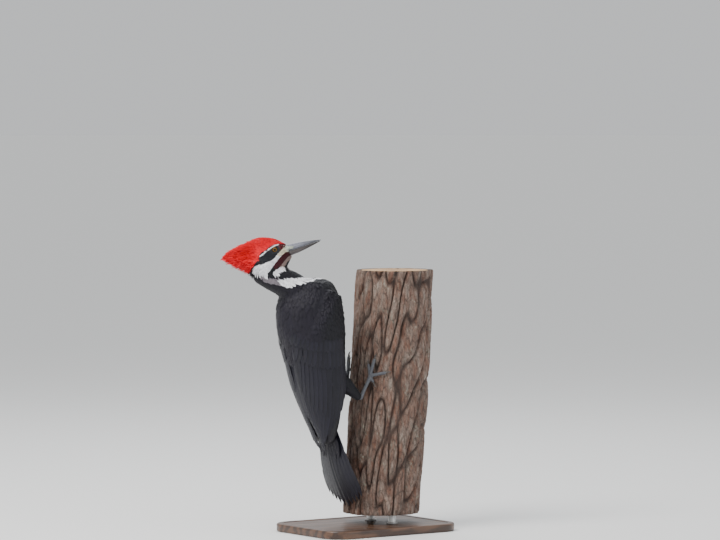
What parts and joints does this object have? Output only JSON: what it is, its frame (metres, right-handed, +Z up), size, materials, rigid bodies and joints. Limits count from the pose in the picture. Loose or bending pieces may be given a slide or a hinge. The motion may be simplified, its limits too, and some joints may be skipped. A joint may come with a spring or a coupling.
{
  "type": "pileated woodpecker",
  "caption": "Life-size still model of a crested black, white and red woodpecker clinging to a cut log on a flat display base, its head turned back over its shoulder.",
  "frame": {"origin": "centre of the base's underside", "axes": "+Z up; +X from the bird towards the log it clings to; +Y to the bird's left; the head is turned to the bird's right, 35 degrees from +X towards -Y"},
  "size_m": [0.3355, 0.176, 0.4444],
  "materials": {
    "feather_black": "soft sooty black plumage with a slight blue sheen",
    "feather_head": "short plumage, black with white bands",
    "feather_red": "soft scarlet plumage",
    "bill": "satin slate-grey horn",
    "eye": "wet, glossy, amber with a black pupil",
    "foot_skin": "scaly dark grey skin",
    "claw": "satin dark horn",
    "bark": "rough furrowed bark with sawn ends",
    "base_wood": "dark stained, satin",
    "rod_steel": "brushed"
  },
  "bodies": {
    "root": {"bill_lower": "bill", "bill_upper": "bill", "claw_left_hind": "claw", "claw_left_inner": "claw", "claw_left_middle": "claw", "claw_left_outer": "claw", "claw_right_hind": "claw", "claw_right_inner": "claw", "claw_right_middle": "claw", "claw_right_outer": "claw", "crest": "feather_red", "eye_left": "eye", "eye_right": "eye", "foot_left": "foot_skin", "foot_right": "foot_skin", "head": "feather_head", "neck": "feather_head", "perch_log": "bark", "stand_base": "base_wood", "stand_rod_1": "rod_steel", "stand_rod_2": "rod_steel", "tail": "feather_black", "thigh_left": "feather_black", "thigh_right": "feather_black", "trunk": "feather_black", "wing_left": "feather_black", "wing_right": "feather_black"}
  },
  "joints": []
}
